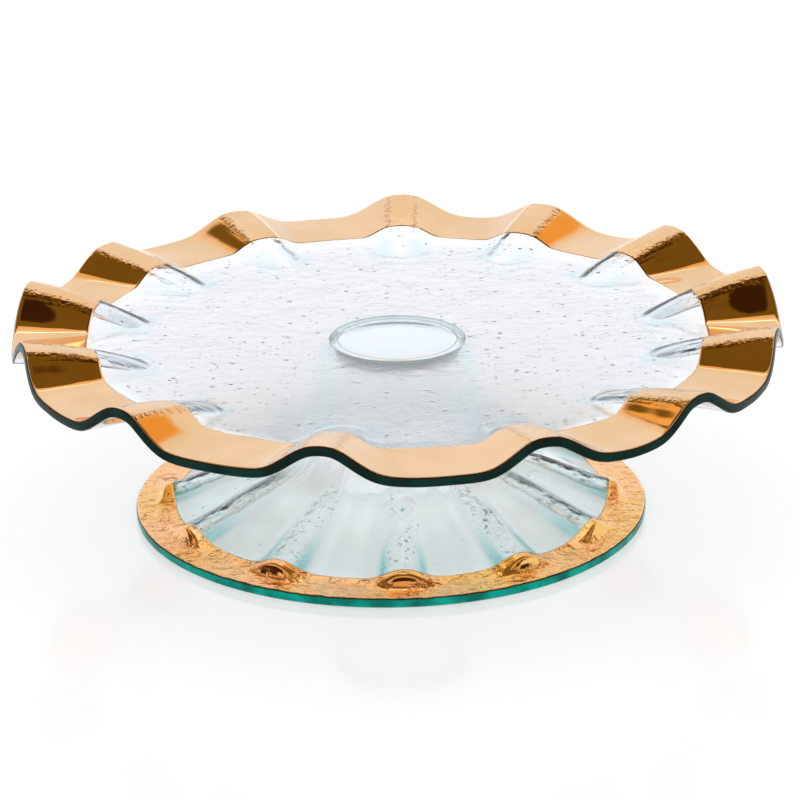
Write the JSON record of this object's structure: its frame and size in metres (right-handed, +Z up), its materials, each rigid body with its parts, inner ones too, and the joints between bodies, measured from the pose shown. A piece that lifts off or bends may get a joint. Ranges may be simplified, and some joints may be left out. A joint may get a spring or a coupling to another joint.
{
  "type": "cake stand",
  "caption": "Clear glass pedestal cake stand: round flat plate with a deep ruffled rim and a wide gold band, bonded on a ridged, flared foot with a gold flange.",
  "frame": {"origin": "on the table, at the centre of the plate's footprint; the foot's flange lies 4 mm off it along -X", "axes": "+Z up; the ruffle's tallest crest points along +X"},
  "size_m": [0.368, 0.3673, 0.1091],
  "materials": {
    "clear_glass": "polished, with a faint green tint that is deep green at the edges and a fine kiln texture underneath",
    "gold_lustre": "fired metallic gold lustre, mirror-bright on the plate and hammered on the foot",
    "clear_adhesive": "clear optical adhesive"
  },
  "bodies": {
    "root": {"plate_glass": "clear_glass", "plate_gold_band": "gold_lustre", "adhesive_bond": "clear_adhesive", "pedestal_glass": "clear_glass", "pedestal_gold_band": "gold_lustre"}
  },
  "joints": []
}
